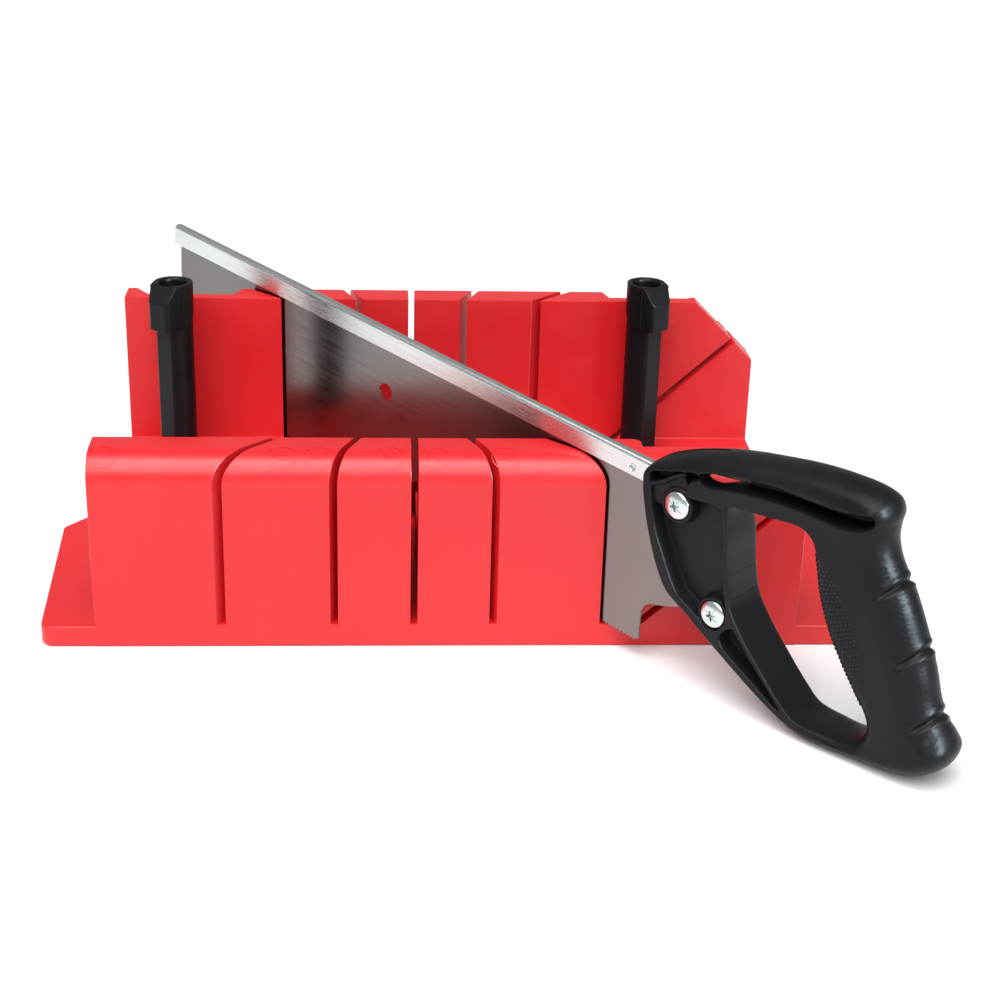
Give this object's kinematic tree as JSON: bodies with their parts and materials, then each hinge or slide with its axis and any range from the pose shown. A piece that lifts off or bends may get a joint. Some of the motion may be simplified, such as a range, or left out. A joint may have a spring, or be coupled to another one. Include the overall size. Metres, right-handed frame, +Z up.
{
  "type": "miter box saw",
  "caption": "Clamping miter box with angled saw slots, cam clamp posts in its bed and a back saw standing in the 45 degree slot.",
  "frame": {"origin": "bottom centre of the bounding box of the whole set, saw included", "axes": "+Z up from the bench, +X right along the box as its user faces it, +Y from the front wall to the fence"},
  "size_m": [0.4406, 0.3848, 0.1565],
  "materials": {
    "red_plastic": "satin moulded",
    "black_plastic": "satin moulded",
    "blade_steel": "ground",
    "spine_steel": "bright folded strip",
    "zinc_steel": "zinc plated"
  },
  "bodies": {
    "box": {"miter_box": "red_plastic"},
    "saw": {"saw_blade": "blade_steel", "saw_spine": "spine_steel", "saw_handle": "black_plastic", "handle_screw_upper": "zinc_steel", "handle_nut_upper": "zinc_steel", "handle_screw_lower": "zinc_steel", "handle_nut_lower": "zinc_steel"},
    "left_pin": {"left_post_pin": "zinc_steel"},
    "left_cam": {"left_cam_post": "black_plastic", "left_post_cap": "black_plastic"},
    "right_pin": {"right_post_pin": "zinc_steel"},
    "right_cam": {"right_cam_post": "black_plastic", "right_post_cap": "black_plastic"}
  },
  "joints": [
    {"name": "saw_stroke", "type": "slide", "parent": "box", "child": "saw", "axis": [0.7071, -0.7071, 0], "range_m": [0, 0.07]},
    {"name": "left_post_lift", "type": "slide", "parent": "box", "child": "left_pin", "axis": [0, 0, 1], "range_m": [0, 0.021]},
    {"name": "left_post_turn", "type": "hinge", "parent": "left_pin", "child": "left_cam", "pos_m": [-0.15635, 0.10414, 0.1], "axis": [0, 0, 1], "continuous": true},
    {"name": "right_post_lift", "type": "slide", "parent": "box", "child": "right_pin", "axis": [0, 0, 1], "range_m": [0, 0.021]},
    {"name": "right_post_turn", "type": "hinge", "parent": "right_pin", "child": "right_cam", "pos_m": [0.10365, 0.11064, 0.1], "axis": [0, 0, 1], "range_deg": [-135, 90]}
  ]
}
